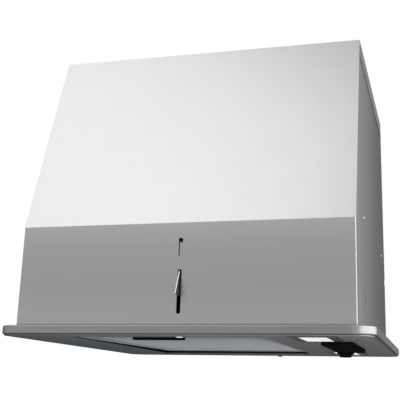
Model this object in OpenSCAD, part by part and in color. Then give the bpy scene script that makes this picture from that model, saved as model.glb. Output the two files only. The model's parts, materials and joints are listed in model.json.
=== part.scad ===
// Range hood insert: a folded steel hood body on a flat rim, with a grease filter,
// two lamps and a timer below, and a damper in the duct collar worked by a lever in front.
// X is the width, Y runs from front to back and Z is up. The origin is the middle of the
// rim's top face, which seats against the underside of the cabinet.

/* [Rim] */
// Width of the rim
rim_w = 598; // [560:1:700]
// Depth of the rim from front to back
rim_d = 594; // [560:1:640]
// Height of the rim's outer skirt
rim_h = 13; // [10:0.5:16]
// Corner radius of the rim seen from below
rim_r = 30; // [12:1:40]
// Outer radius of the rim's folds
rim_fold_r = 1.7; // [1.6:0.1:3]
// Sheet thickness of the rim and the bottom plate
rim_t = 1.2; // [0.8:0.1:1.5]
// Width of the lip turned in below the skirt
rim_lip = 6; // [5:0.5:6.5]
// Overhang of the rim at each side of the body
side_overhang = 27; // [20:0.5:34]
// Overhang of the rim in front of the body
front_overhang = 15; // [12:0.5:15.5]
// Overhang of the rim behind the body
rear_overhang = 8; // [8:0.5:12]

/* [Body] */
// Height of the body above the rim
body_h = 495; // [465:1:540]
// Height of the front fold above the rim
fold_h = 160; // [159:1:175]
// Distance that the top front edge lies behind the lower front
top_setback = 106; // [80:1:120]
// Height of the bend in the back above the rim
kink_h = 138; // [115:1:155]
// Distance that the top of the back leans forward
rear_lean = 14; // [8:1:30]
// Sheet thickness of the body panels
panel_t = 1; // [0.8:0.1:1.2]
// Outer radius of the body's vertical folds
body_fold_r = 2.2; // [1.6:0.1:3]
// Width of the front panel's side returns
front_return = 16; // [12:0.5:20]
// Width of the back panel's side returns
rear_return = 10; // [8:0.5:14]
// Height of the top cover's side flanges
cover_flange = 30; // [20:1:40]
// Width of the side panels' bottom flanges
foot_flange = 12; // [10:0.5:16]
// Distance from the body's front to the front side rivets
rivet_front = 133; // [120:1:150]
// Distance from the body's rear to the rear side rivets
rivet_rear = 70; // [60:1:90]
// Height of the side rivets above the rim
rivet_z = 188; // [180:1:200]
// Distance from the body's front to the side panels' screw slots
side_slot_in = 139; // [125:1:150]
// Height of the side panels' screw slots above the rim
side_slot_z = 50; // [45:1:60]
// Height of the side rails
rail_h = 16; // [12:1:20]
// Width of the side rails' leg
rail_w = 14; // [10:1:18]
// Length of the side rails beyond their rivets
rail_over = 15; // [10:1:20]

/* [Bottom plate] */
// Distance that the bottom plate stands below the rim's skirt
plate_lip = 2; // [1.5:0.5:4]
// Distance from the rim's outside to the bottom plate's edge
plate_inset = 3; // [2:0.5:5]
// Radius of the screws that hold the bottom plate
plate_screw_r = 1.9; // [1.5:0.1:2.2]
// Radius of the clearance holes round those screws
plate_hole_r = 2.1; // [2:0.05:2.6]
// Distance from the middle to the screw under the rear edge
rear_screw_side = 45; // [0:1:60]

/* [Grease filter] */
// Width of the filter opening
filter_open_w = 314; // [300:1:322]
// Depth of the filter opening
filter_open_d = 470; // [440:1:490]
// Place of the filter opening's middle along the width
filter_x = -31; // [-50:1:-28]
// Distance from the rim's front to the filter opening
filter_front = 44; // [40:1:50]
// Distance from the filter's middle to the handle's middle
handle_side = 14; // [0:1:30]
// Distance that the handle stands below the filter's face
cup_proud = 4.4; // [2:0.2:5]
// Gap between the filter and its opening
filter_gap = 3; // [2.8:0.1:5]
// Thickness of the filter frame
filter_h = 9; // [8:0.5:9.5]
// Width of the filter frame's border
filter_border = 16; // [12:0.5:20]
// Width of the border at the front, which carries the handle
filter_front_border = 24; // [22:0.5:30]
// Sheet thickness of the filter frame
filter_t = 0.8; // [0.6:0.1:1]
// Distance that the filter's face lies above the plate's lower face
filter_recess = 5; // [4.5:0.25:5.5]
// Distance that the filter's front hangs lower than its rear
filter_droop = 4; // [3:0.25:4.25]
// Height of the hem round the filter opening
opening_hem = 4.4; // [3.6:0.1:4.4]
// Width of the filter's hinge brackets
bracket_w = 12; // [10:0.5:12]
// Sheet thickness of the filter's hinge brackets
bracket_t = 2; // [1.5:0.1:2.4]
// Length of the foot of the filter's hinge brackets
bracket_foot = 14; // [12:0.5:18]
// Radius of the filter's hinge pins
filter_pin_r = 2; // [1.5:0.1:2.5]
// Distance from the filter's rear edge to its hinge axis
filter_pin_in = 6; // [5:0.5:7]
// Pitch of the expanded net across the filter
net_pitch_x = 44; // [36:1:60]
// Pitch of the expanded net along the filter
net_pitch_y = 33; // [28:1:44]
// Strand width of the expanded net
net_strand = 2.4; // [1.8:0.1:4]

/* [Lamps] */
// Length of a lamp's bezel from front to back
lamp_l = 102; // [98:1:108]
// Width of a lamp's bezel
lamp_w = 72; // [64:1:80]
// Length of a lamp's lens
lens_l = 84; // [76:1:88]
// Width of a lamp's lens
lens_w = 42; // [36:1:50]
// Distance from the rim's right side to the lamps' middle
lamp_in = 95; // [94:1:104]
// Distance from the rim's front to the front lamp
front_lamp_in = 18; // [17.5:0.5:22]
// Distance from the rim's rear to the rear lamp
rear_lamp_in = 84; // [70:1:94]
// Width of the bezel's rim round its frame
bezel_lip_w = 5; // [4:0.5:6]
// Rim of the bezel at the ends of its frame
bezel_lip_l = 4; // [3:0.5:5]
// Height of the bezel's frame above the plate's lower face
bezel_up = 8; // [6:0.5:10]
// Height of a lamp's case above the plate
lamp_case_h = 16; // [12:1:24]

/* [Timer] */
// Width of the timer housing
timer_w = 50; // [48:1:56]
// Length of the timer housing from front to back
timer_l = 215; // [190:1:220]
// Distance that the timer housing stands below the plate
timer_proud = 5.5; // [3:0.5:8]
// Height of the timer housing above the plate's lower face
timer_up = 44; // [40:1:60]
// Wall of the timer housing
timer_wall = 2.2; // [1.6:0.1:3]
// Distance from the rim's right side to the timer housing
timer_in = 48; // [48:0.5:54]
// Distance that the timer housing's middle stands in front of the rim's middle
timer_fwd = 58.5; // [54:0.5:60]
// Least distance from the front lamp to the timer housing
timer_gap = 9; // [8:0.5:11]
// Length of the lamp driver in the timer housing
driver_l = 62; // [50:1:76]
// Distance between the blocks in the timer housing
block_gap = 5; // [4:0.5:8]
// Radius of the timer knob's skirt
knob_r = 15.5; // [13:0.5:17]
// Height of the timer knob
knob_h = 9; // [7:0.5:12]
// Distance from the housing's rear end to the knob's axis
knob_in = 17; // [17:0.5:22]
// Distance from the housing's middle to the knob's axis
knob_side = 9.5; // [0:0.5:10]
// Radius of the timer's shaft
timer_shaft_r = 3; // [2.5:0.1:3.5]

/* [Light button] */
// Radius of the light button
button_r = 5.2; // [4:0.1:5.3]
// Distance that the light button stands below the plate
button_proud = 1.6; // [1.5:0.1:2.4]
// Travel of the light button
button_travel = 1.2; // [1:0.1:1.5]
// Distance from the rim's front to the light button
button_y = 26; // [26:0.5:29]

/* [Lever and damper] */
// Radius of the duct collar's outside
collar_r = 62.3; // [60:0.1:65]
// Height of the duct collar above the top cover
collar_h = 60; // [50:1:80]
// Wall of the duct collar
collar_t = 0.8; // [0.6:0.1:1.2]
// Distance that the duct collar's axis stands behind the rim's middle
collar_back = 60; // [50:1:70]
// Wall of the drum round the damper
drum_t = 1.5; // [1:0.1:2]
// Depth of the damper's axis below the top cover
damper_drop = 27; // [26:0.5:30]
// Radius of the damper flap
flap_r = 59; // [57:0.1:59.4]
// Radius of the damper shaft
damper_shaft_r = 4; // [3:0.1:5]
// Travel of the lever
lever_travel = 26; // [24:0.5:27]
// Width of the slots in the front panel
slot_w = 6.5; // [6:0.1:8]
// Height of the lower end of the lever slot
slot_low = 18; // [16:0.5:22]
// Length of the lever slot
slot_len = 68.5; // [67:0.5:70]
// Height of the lower end of the upper slot
flow_slot_low = 106.5; // [105:0.5:108]
// Length of the upper slot
flow_slot_len = 29.3; // [28:0.1:30]
// Travel of the base flow slide
flow_travel = 22; // [18:0.5:22]
// Distance that the lever stands out of the front panel
lever_out = 18; // [14:0.5:24]
// Height of the lever
lever_h = 39.5; // [34:0.5:40]
// Thickness of the lever's web
lever_web = 1.4; // [1.2:0.1:2.4]
// Width of the lever's front edge
lever_edge = 1.9; // [1.8:0.1:3.2]
// Thickness of the lever and flow slides
slide_t = 1.5; // [1:0.1:1.6]
// Width of the lever and flow slides
slide_w = 34; // [30:0.5:40]

/* [Clearances] */
// Clearance of sliding sheets
slide_gap = 0.3; // [0.2:0.05:0.4]
// Radial clearance of shafts and pins in their bores
run_gap = 0.05; // [0.02:0.01:0.08]
// Clearance round parts that pass through an opening
pass_gap = 0.4; // [0.3:0.05:0.8]

/* [Hidden] */

$fn = 48;

// Places of the body's faces
body_w = rim_w - 2 * side_overhang;
y_front = -rim_d / 2 + front_overhang;
y_rear = rim_d / 2 - rear_overhang;
body_d = y_rear - y_front;
slope_a = atan(top_setback / (body_h - fold_h));
lean_a = atan(rear_lean / (body_h - kink_h));
plate_low = -rim_h - plate_lip;
plate_top = plate_low + rim_t;
x_side = body_w / 2 - panel_t;

function rim_y(from_front) = from_front - rim_d / 2;
// Inner face of the front panel and of the back panel at height z
function front_in(z) = z < fold_h ? y_front + panel_t
    : y_front + panel_t + (z - fold_h + panel_t * tan(slope_a / 2)) * tan(slope_a);
function back_in(z) = z < kink_h ? y_rear - panel_t
    : y_rear - panel_t - (z - kink_h + panel_t * tan(lean_a / 2)) * tan(lean_a);

// Outer face of the back panel at height z
function back_out(z) = y_rear - max(0, z - kink_h) * tan(lean_a);

// Filter
filter_w = filter_open_w - 2 * filter_gap;
filter_d = filter_open_d - 2 * filter_gap;
filter_y = rim_y(filter_front + filter_open_d / 2);
filter_z = plate_low + filter_recess;
filter_top = filter_z + filter_h;
hem_top = plate_low + opening_hem;
filter_rear = filter_y + filter_d / 2;
filter_edge = filter_y - filter_d / 2;
pin_y = filter_rear - filter_pin_in;
pin_z = filter_z + 5;
droop_a = asin(filter_droop / (filter_d - filter_pin_in));
net_w = filter_w - 2 * filter_t - 0.4;
net_t = 1;
core_t = 0.5;
net_room = filter_h - 2 * filter_t;

// Handle and latch
cup_w = 86;
cup_d = 15;
cup_wall = 1.6;
handle_x = filter_x - handle_side;
cup_z = filter_z - cup_proud;
cup_top = filter_top - filter_t - 0.4;
cup_y = filter_edge + 4 + cup_d / 2;
tongue_w = 12;
tongue_t = 1.4;
tongue_z = hem_top + filter_droop + slide_gap;
tongue_over = 2.5;
latch_bar_w = 40;
latch_bar_t = 3.6;

// Filter pack behind the handle
pack_front = cup_y + cup_d / 2 + 2.5;
pack_rear = filter_rear - filter_t - 0.2;
pack_d = pack_rear - pack_front;
pack_y = (pack_front + pack_rear) / 2;
window_d = filter_d - filter_border - filter_front_border;
window_y = filter_y + (filter_front_border - filter_border) / 2;
window_w = filter_w - 2 * filter_border;

// Damper
top_z = body_h;
collar_cy = collar_back;
axis_z = top_z - damper_drop;
collar_in = collar_r - collar_t;
drum_r = collar_in + drum_t;
drum_low = axis_z - flap_r - 3;
flange_t = 1;
crank_arm = lever_travel / 2;
rod_x = -crank_arm;
rod_pin_r = 1.8;
rod_w = 3.4;
rod_t = 2;
bush_r = 6;
bush_out = 6;
crank_y = collar_cy - drum_r - bush_out - 1.2 - 2.5;
crank_t = 2.5;
guide_y = crank_y - 4.5;
guide_t = 1.5;
rod_pin_z = axis_z + crank_arm;

// Lever
slide_y = y_front + panel_t + slide_gap;
lever_low = slot_low + lever_travel + 0.2;
lever_slide_low = lever_low + 2;
lever_slide_top = flow_slot_low - 2.5 - flow_travel - 2;
flow_slide_low = flow_slot_low - 2.5;
flow_slide_top = fold_h - 3;
flow_pin_r = slot_w / 2 - 0.1;
flow_pin_z = flow_slot_low + flow_slot_len - flow_pin_r - 0.2;
guide_lip = 1.8;
rod_foot_z = lever_slide_low + 6;

// Lamps
lamp_x = rim_w / 2 - lamp_in;
lamp_places = [rim_y(front_lamp_in + lamp_l / 2), rim_d / 2 - rear_lamp_in - lamp_l / 2];
bezel_t = 1;
bezel_wall = 2;
lamp_frame_w = lamp_w - 2 * bezel_lip_w;
lamp_frame_l = lamp_l - 2 * bezel_lip_l;

// Timer
timer_x = rim_w / 2 - timer_in - timer_w / 2;
timer_cy = max(-timer_fwd, lamp_places[0] + lamp_l / 2 + timer_gap + timer_l / 2);
timer_low = plate_low - timer_proud;
timer_top = plate_low + timer_up;
knob_x = timer_x - knob_side;
knob_y = timer_cy + timer_l / 2 - knob_in;
timer_lid_t = 2;
timer_flange = 6;

// Light button
button_cy = rim_y(button_y);
switch_r = button_r + 1.3;
switch_top = plate_top + 20;

screw_places = [for (sx = [-1, 1], sy = [-1, 1])
    [sx * (x_side - foot_flange / 2), sy * body_d * 0.37 + 2]];
rivet_places = [y_front + rivet_front, y_rear - rivet_rear];

// Rounded rectangle, centred
module rounded(w, d, r) {
    square([w - 2 * r, d], center = true);
    square([w, d - 2 * r], center = true);
    for (sx = [-1, 1], sy = [-1, 1])
        translate([sx * (w / 2 - r), sy * (d / 2 - r)]) circle(r);
}

// Plate of even thickness from a profile across the depth and the height
module across(x0, w) {
    translate([x0, 0, 0]) rotate([90, 0, 90]) linear_extrude(w) children();
}

// Slot with round ends that stands upright and runs through a front sheet
module upright_slot(w, low, len, y0, t) {
    translate([0, y0 - t, 0]) rotate([-90, 0, 0]) linear_extrude(3 * t) {
        translate([-w / 2, -(low + len - w / 2)]) square([w, len - w]);
        for (z = [low + w / 2, low + len - w / 2]) translate([0, -z]) circle(w / 2);
    }
}

// Helical spring along Z as one tube of six sides
module coil(r, wire, h, turns) {
    steps = 10;
    n = turns * steps;
    pts = [for (i = [0 : n], k = [0 : 5])
        let (a = 360 * i / steps, b = 60 * k, rr = r + wire * cos(b))
        [rr * cos(a), rr * sin(a), wire + (h - 2 * wire) * i / n + wire * sin(b)]];
    sides = [for (i = [0 : n - 1], k = [0 : 5])
        let (a = i * 6 + k, b = i * 6 + (k + 1) % 6)
        each [[a, a + 6, b], [b, a + 6, b + 6]]];
    ends = [for (k = [1 : 4]) each [[0, k, k + 1], [n * 6, n * 6 + k + 1, n * 6 + k]]];
    polyhedron(pts, concat(sides, ends));
}

// Section of the rim's fold, open towards the inside, with its outer face at u = 0
module rim_section() {
    difference() {
        union() {
            translate([-rim_lip, -rim_h]) square([rim_lip - rim_fold_r, rim_h]);
            translate([-rim_lip, -rim_h + rim_fold_r]) square([rim_lip, rim_h - 2 * rim_fold_r]);
            for (v = [-rim_fold_r, -rim_h + rim_fold_r])
                translate([-rim_fold_r, v]) circle(rim_fold_r);
        }
        r_in = rim_fold_r - rim_t;
        translate([-rim_lip - 1, -rim_h + rim_t])
            square([rim_lip + 1 - rim_fold_r, rim_h - 2 * rim_t]);
        translate([-rim_lip - 1, -rim_h + rim_fold_r])
            square([rim_lip + 1 - rim_t, rim_h - 2 * rim_fold_r]);
        for (v = [-rim_fold_r, -rim_h + rim_fold_r])
            translate([-rim_fold_r, v]) circle(r_in);
    }
}

module rim_frame() {
    color("silver") difference() {
        union() {
            // Straight runs of the fold
            for (s = [-1, 1]) {
                translate([s * rim_w / 2, 0, 0]) rotate([0, 0, s > 0 ? 0 : 180])
                    translate([0, (rim_d - 2 * rim_r) / 2, 0]) rotate([90, 0, 0])
                        linear_extrude(rim_d - 2 * rim_r) rim_section();
                translate([0, s * rim_d / 2, 0]) rotate([0, 0, s * 90])
                    translate([0, (rim_w - 2 * rim_r) / 2, 0]) rotate([90, 0, 0])
                        linear_extrude(rim_w - 2 * rim_r) rim_section();
            }
            // Corners
            for (c = [[1, 1, 0], [-1, 1, 90], [-1, -1, 180], [1, -1, 270]])
                translate([c[0] * (rim_w / 2 - rim_r), c[1] * (rim_d / 2 - rim_r), 0])
                    rotate([0, 0, c[2]]) rotate_extrude(angle = 90)
                        translate([rim_r, 0]) rim_section();
            // Seat flange between the fold and the body
            translate([0, 0, -rim_t]) linear_extrude(rim_t)
                rounded(rim_w - 2 * rim_fold_r, rim_d - 2 * rim_fold_r, rim_r - rim_fold_r);
            // Hem turned down round the body
            translate([0, (y_front + y_rear) / 2, -rim_h + 5]) linear_extrude(rim_h - 5)
                square([body_w + 2 * rim_t, body_d + 2 * rim_t], center = true);
        }
        translate([0, (y_front + y_rear) / 2, -rim_h - 1]) linear_extrude(rim_h + 2)
            square([body_w, body_d], center = true);
        for (sx = [-1, 1], sy = [-1, 1])
            translate([sx * (rim_w / 2 - seat_hole_in), sy * seat_hole_y, -2 * rim_t])
                cylinder(r = seat_hole_r, h = 3 * rim_t);
    }
}
seat_hole_in = 12;
seat_hole_y = 200;
seat_hole_r = 2.25;

module bottom_plate() {
    w = rim_w - 2 * plate_inset;
    d = rim_d - 2 * plate_inset;
    r = rim_r - plate_inset;
    color("silver") difference() {
        union() {
            translate([0, 0, plate_low]) linear_extrude(rim_t) rounded(w, d, r);
            // Hem at the outer edge
            translate([0, 0, plate_low]) linear_extrude(-rim_h - plate_low) difference() {
                rounded(w, d, r);
                rounded(w - 2 * rim_t, d - 2 * rim_t, r - rim_t);
            }
            // Hem round the filter opening
            translate([filter_x, filter_y, plate_low]) linear_extrude(opening_hem)
                square([filter_open_w + 2 * rim_t, filter_open_d + 2 * rim_t], center = true);
        }
        translate([filter_x, filter_y, plate_low - 1]) linear_extrude(opening_hem + 2)
            square([filter_open_w, filter_open_d], center = true);
        for (y = lamp_places) translate([lamp_x, y, plate_low - 1]) linear_extrude(rim_t + 2)
            square([lamp_frame_w + 2 * pass_gap, lamp_frame_l + 2 * pass_gap], center = true);
        translate([timer_x, timer_cy, plate_low - 1]) linear_extrude(rim_t + 2)
            rounded(timer_w + pass_gap, timer_l + pass_gap, timer_wall);
        translate([0, button_cy, plate_low - 1]) cylinder(r = switch_r + 0.1, h = rim_t + 2);
        for (p = screw_places) translate([p[0], p[1], plate_low - 1])
            cylinder(r = plate_hole_r, h = rim_t + 2);
        translate([rear_screw_side, y_rear - 6, plate_low - 1]) cylinder(r = plate_hole_r, h = rim_t + 2);
    }
}

// Lower wall with rounded folds and side returns, then the sloping upper wall
module front_panel() {
    color("gainsboro") difference() {
        union() {
            translate([0, 0, plate_top]) linear_extrude(fold_h - plate_top) difference() {
                union() {
                    translate([-body_w / 2, y_front + body_fold_r])
                        square([body_w, front_return - body_fold_r]);
                    translate([-body_w / 2 + body_fold_r, y_front])
                        square([body_w - 2 * body_fold_r, front_return]);
                    for (s = [-1, 1])
                        translate([s * (body_w / 2 - body_fold_r), y_front + body_fold_r])
                            circle(body_fold_r);
                }
                translate([-x_side, y_front + body_fold_r])
                    square([2 * x_side, front_return]);
                translate([-body_w / 2 + body_fold_r, y_front + panel_t])
                    square([body_w - 2 * body_fold_r, front_return]);
                for (s = [-1, 1])
                    translate([s * (body_w / 2 - body_fold_r), y_front + body_fold_r])
                        circle(body_fold_r - panel_t);
            }
            across(-body_w / 2, body_w) polygon([
                [y_front, fold_h], [y_front + top_setback, body_h],
                [front_in(body_h), body_h],
                [y_front + panel_t, fold_h - panel_t * tan(slope_a / 2)]]);
        }
        upright_slot(slot_w, slot_low, slot_len, y_front, panel_t);
        upright_slot(slot_w, flow_slot_low, flow_slot_len, y_front, panel_t);
        // Relief notches in the returns
        for (s = [-1, 1]) translate([s * (x_side + panel_t / 2) - 1, y_front + 4, 22])
            cube([2, 3, 9]);
    }
}

// Side wall with a flange turned in at its foot, s is its side
module side_panel(s) {
    z_top = body_h - panel_t;
    x0 = s > 0 ? x_side - panel_t : -x_side;
    // The lower front edge ends behind the front panel's rounded fold
    y_edge = y_front + body_fold_r + edge_gap;
    z_edge = fold_h - panel_t * tan(slope_a / 2) + (y_edge - y_front - panel_t) / tan(slope_a);
    color("darkgray") difference() {
        union() {
            across(x0, panel_t) polygon([
                [y_edge, plate_top],
                [y_edge, z_edge],
                [front_in(z_top), z_top],
                [back_in(z_top), z_top],
                [back_in(plate_top), kink_h - panel_t * tan(lean_a / 2)],
                [back_in(plate_top), plate_top]]);
            translate([s > 0 ? x_side - panel_t - foot_flange : -x_side, y_front + 20, plate_top])
                cube([foot_flange + panel_t, body_d - 40, panel_t]);
        }
        // Upright slot for a screw into the cabinet's side
        translate([x0 - 1, y_front + side_slot_in, side_slot_z]) rotate([90, 0, 90])
            linear_extrude(panel_t + 2) {
                translate([-side_slot_r, 0]) square([2 * side_slot_r, side_slot_l]);
                for (z = [0, side_slot_l]) translate([0, z]) circle(side_slot_r);
            }
        for (y = rivet_places) translate([x0 - 1, y, rivet_z]) rotate([0, 90, 0])
            cylinder(r = 1.6, h = panel_t + 2);
        for (p = screw_places) translate([p[0], p[1], plate_top - 1])
            cylinder(r = plate_hole_r, h = panel_t + 2);
        translate([x0 - 1, y_front + 4, 22]) cube([panel_t + 2, 3, 9]);
    }
}

side_slot_r = 2.5;
side_slot_l = 9;
edge_gap = 0.05;

module side_panel_left() side_panel(-1);
module side_panel_right() side_panel(1);

module back_panel() {
    color("darkgray") {
        difference() {
            union() {
                across(-x_side, 2 * x_side) polygon([
                    [y_rear, plate_top], [y_rear, kink_h], [y_rear - rear_lean, body_h],
                    [back_in(body_h), body_h],
                    [back_in(plate_top), kink_h - panel_t * tan(lean_a / 2)],
                    [back_in(plate_top), plate_top]]);
                for (s = [-1, 1]) {
                    x0 = s > 0 ? x_side : -x_side - panel_t;
                    x1 = s > 0 ? x_side - panel_t : -x_side - panel_t;
                    across(x0, panel_t) polygon([
                        [y_rear, plate_top], [y_rear, return_low],
                        [y_rear - rear_return, return_low], [y_rear - rear_return, plate_top]]);
                    across(x0, panel_t) polygon([
                        [back_out(return_high), return_high],
                        [back_out(cover_low), cover_low],
                        [back_out(cover_low) - rear_return, cover_low],
                        [back_out(return_high) - rear_return, return_high]]);
                    // Folds that join the returns to the sheet
                    across(x1, 2 * panel_t) polygon([
                        [y_rear, plate_top], [y_rear, return_low],
                        [back_in(plate_top), return_low], [back_in(plate_top), plate_top]]);
                    across(x1, 2 * panel_t) polygon([
                        [back_out(return_high), return_high],
                        [back_out(cover_low), cover_low],
                        [back_in(cover_low), cover_low],
                        [back_in(return_high), return_high]]);
                }
            }
            translate([rear_screw_side, y_rear - 6, plate_top - 1]) cylinder(r = plate_hole_r, h = 3);
        }
        // Tongue behind the plate that takes the rear screw
        translate([rear_screw_side - 10, back_in(0) - 10, plate_top]) difference() {
            cube([20, 10 + panel_t / 2, panel_t]);
            translate([10, 10 - (back_in(0) - y_rear + 6), -1]) cylinder(r = plate_hole_r, h = 3);
        }
    }
}
cover_low = body_h - cover_flange - 0.5;
return_low = kink_h - 3;
return_high = kink_h + 8;

module top_cover() {
    z_in = body_h - panel_t;
    color("gainsboro") difference() {
        union() {
            across(-body_w / 2, body_w) polygon([
                [front_in(z_in) + slide_gap, z_in], [front_in(body_h) + slide_gap, body_h],
                [back_in(body_h) - slide_gap, body_h], [back_in(z_in) - slide_gap, z_in]]);
            for (s = [-1, 1])
                across(s > 0 ? x_side : -x_side - panel_t, panel_t) polygon([
                    [front_in(body_h - cover_flange) + slide_gap, body_h - cover_flange],
                    [front_in(z_in) + slide_gap, z_in],
                    [back_in(z_in) - slide_gap, z_in],
                    [back_in(body_h - cover_flange) - slide_gap, body_h - cover_flange]]);
            // Stiffening flanges behind the front and the back
            across(-x_side + 14, 2 * x_side - 28) polygon([
                [front_in(body_h - 20) + slide_gap, body_h - 20],
                [front_in(z_in) + slide_gap, z_in],
                [front_in(z_in) + slide_gap + panel_t, z_in],
                [front_in(body_h - 20) + slide_gap + panel_t, body_h - 20]]);
            across(-x_side + 14, 2 * x_side - 28) polygon([
                [back_in(body_h - 20) - slide_gap, body_h - 20],
                [back_in(z_in) - slide_gap, z_in],
                [back_in(z_in) - slide_gap - panel_t, z_in],
                [back_in(body_h - 20) - slide_gap - panel_t, body_h - 20]]);
        }
        translate([0, collar_cy, z_in - 1]) cylinder(r = collar_in, h = panel_t + 2);
        for (a = [45 : 90 : 315]) translate([0, collar_cy, z_in - 1])
            rotate([0, 0, a]) translate([rivet_ring, 0, 0]) cylinder(r = 1.6, h = panel_t + 2);
        translate([gland_x, gland_y, z_in - 1]) cylinder(r = gland_r + 0.1, h = panel_t + 2);
    }
}
gland_in = 81;
gland_x = x_side - gland_in;
gland_y = 170;
gland_r = 8;
gland_bore = 4;

// Angle rails that stiffen the side panels
module side_rails() {
    rail_l = rivet_places[1] - rivet_places[0] + 2 * rail_over;
    color("silver") for (s = [-1, 1]) difference() {
        union() {
            translate([s > 0 ? x_side - 2 * panel_t : -x_side + panel_t,
                       rivet_places[0] - rail_over, rivet_z - rail_h / 2])
                cube([panel_t, rail_l, rail_h]);
            translate([s > 0 ? x_side - panel_t - rail_w : -x_side + panel_t,
                       rivet_places[0] - rail_over, rivet_z + rail_h / 2 - panel_t])
                cube([rail_w, rail_l, panel_t]);
        }
        for (y = rivet_places) translate([s * x_side - s * 1.5 * panel_t - 2, y, rivet_z])
            rotate([0, 90, 0]) cylinder(r = 1.6, h = 4);
    }
}

module side_rivets() {
    color("gray") for (s = [-1, 1], y = rivet_places)
        translate([s * x_side, y, rivet_z]) rotate([0, s * 90, 0]) {
            cylinder(r = 3.2, h = 1);
            translate([0, 0, -2 * panel_t]) cylinder(r = 1.6, h = 2 * panel_t + 0.5);
            translate([0, 0, -2 * panel_t - 1.4]) cylinder(r = 2.4, h = 1.4);
        }
}

// Duct collar: a tube that stands on a flange on the top cover
module outlet_collar() {
    color("silver") translate([0, collar_cy, 0]) rotate_extrude()
        translate([collar_in, top_z + flange_t]) square([collar_t, collar_h - flange_t]);
}

module collar_flange() {
    color("silver") translate([0, collar_cy, top_z]) difference() {
        rotate_extrude() translate([collar_in, 0]) square([flange_w, flange_t]);
        for (a = [45 : 90 : 315]) rotate([0, 0, a]) translate([rivet_ring, 0, -1])
            cylinder(r = 1.6, h = flange_t + 2);
    }
}
flange_w = 16;
rivet_ring = collar_r + 8;

// Drum below the top cover, welded to it, round the damper
module damper_drum() {
    color("silver") difference() {
        translate([0, collar_cy, 0]) rotate_extrude()
            translate([collar_in, drum_low]) square([drum_t, top_z - panel_t - drum_low]);
        for (s = [-1, 1]) translate([0, collar_cy + s * drum_r, axis_z])
            rotate([90, 0, 0]) cylinder(r = bush_r + 0.02, h = 10, center = true);
    }
}

module collar_rivets() {
    color("gray") for (a = [45 : 90 : 315]) translate([0, collar_cy, top_z])
        rotate([0, 0, a]) translate([rivet_ring, 0, 0]) {
            translate([0, 0, flange_t]) cylinder(r = 3, h = 1);
            translate([0, 0, -panel_t]) cylinder(r = 1.6, h = panel_t + flange_t + 0.5);
            translate([0, 0, -panel_t - 1.2]) cylinder(r = 2.4, h = 1.2);
        }
}

module damper_bushes() {
    color("white") for (s = [-1, 1]) translate([0, collar_cy, axis_z])
        rotate([s * 90, 0, 0]) difference() {
            union() {
                translate([0, 0, collar_in]) cylinder(r = bush_r, h = drum_t + bush_out);
                translate([0, 0, drum_r]) cylinder(r = bush_r + 2, h = 2);
            }
            translate([0, 0, collar_in - 1])
                cylinder(r = damper_shaft_r + run_gap, h = drum_t + bush_out + 2);
        }
}

module damper_shaft() {
    front = crank_y - crank_t / 2 - 1.2;
    rear = collar_cy + drum_r + bush_out + 4;
    color("silver") difference() {
        translate([0, front, axis_z]) rotate([-90, 0, 0])
            cylinder(r = damper_shaft_r, h = rear - front);
        translate([-10, collar_cy - flap_r - 1.3, axis_z + 1]) cube([20, 2 * flap_r + 2.6, 10]);
        for (s = [-1, 1]) translate([0, collar_cy + s * 30, axis_z - 6])
            cylinder(r = 1.25, h = 12);
    }
}

module damper_flap() {
    color("silver") translate([0, collar_cy, axis_z + 1]) difference() {
        cylinder(r = flap_r, h = 1.2, $fn = 96);
        for (s = [-1, 1]) translate([0, s * 30, -1]) cylinder(r = 1.3, h = 4);
    }
}

module damper_seal() {
    color("dimgray") translate([0, collar_cy, axis_z + 2.2]) rotate_extrude($fn = 96)
        translate([flap_r - 4, 0]) square([5, 2.6]);
}

module flap_screws() {
    color("gray") for (s = [-1, 1]) translate([0, collar_cy + s * 30, axis_z - 3]) {
        cylinder(r = 1.25, h = 5.2);
        translate([0, 0, 5.2]) cylinder(r = 2.8, h = 1.6);
    }
}

// Crank on the damper shaft; its slot takes the rod's pin with room for the pin's straight path
module damper_crank() {
    far = crank_arm * sqrt(2);
    slot_r = rod_pin_r + 1.3;
    color("silver") translate([0, crank_y, axis_z]) rotate([0, 45, 0]) rotate([90, 0, 0])
        difference() {
            union() {
                cylinder(r = damper_shaft_r + 3, h = crank_t, center = true);
                translate([-far, 0, 0]) cylinder(r = slot_r + 2.4, h = crank_t, center = true);
                translate([-far / 2, 0, 0])
                    cube([far, 2 * slot_r + 4.8, crank_t], center = true);
            }
            cylinder(r = damper_shaft_r, h = 2 * crank_t, center = true);
            for (r = [crank_arm - 0.4, far + 0.4]) translate([-r, 0, 0])
                cylinder(r = slot_r, h = 2 * crank_t, center = true);
            translate([-(far + crank_arm) / 2, 0, 0])
                cube([far - crank_arm + 0.8, 2 * slot_r, 2 * crank_t], center = true);
        }
}

// Guide plate that hangs from the top cover and keeps the rod's pin upright
module rod_guide() {
    z_top = body_h - panel_t;
    z_low = rod_pin_z - lever_travel - rod_pin_r - 6;
    color("silver") difference() {
        union() {
            translate([rod_x - 11, guide_y - guide_t / 2, z_low])
                cube([22, guide_t, z_top - z_low]);
            translate([rod_x - 11, guide_y - guide_t / 2 - 12, z_top - guide_t])
                cube([22, 12 + guide_t, guide_t]);
        }
        translate([rod_x, guide_y, 0]) rotate([-90, 0, 0]) for (z = [rod_pin_z, rod_pin_z - lever_travel])
            translate([0, -z, 0]) cylinder(r = rod_pin_r + slide_gap, h = 2 * guide_t, center = true);
        translate([rod_x - rod_pin_r - slide_gap, guide_y - guide_t, rod_pin_z - lever_travel])
            cube([2 * (rod_pin_r + slide_gap), 2 * guide_t, lever_travel]);
    }
}

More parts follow.
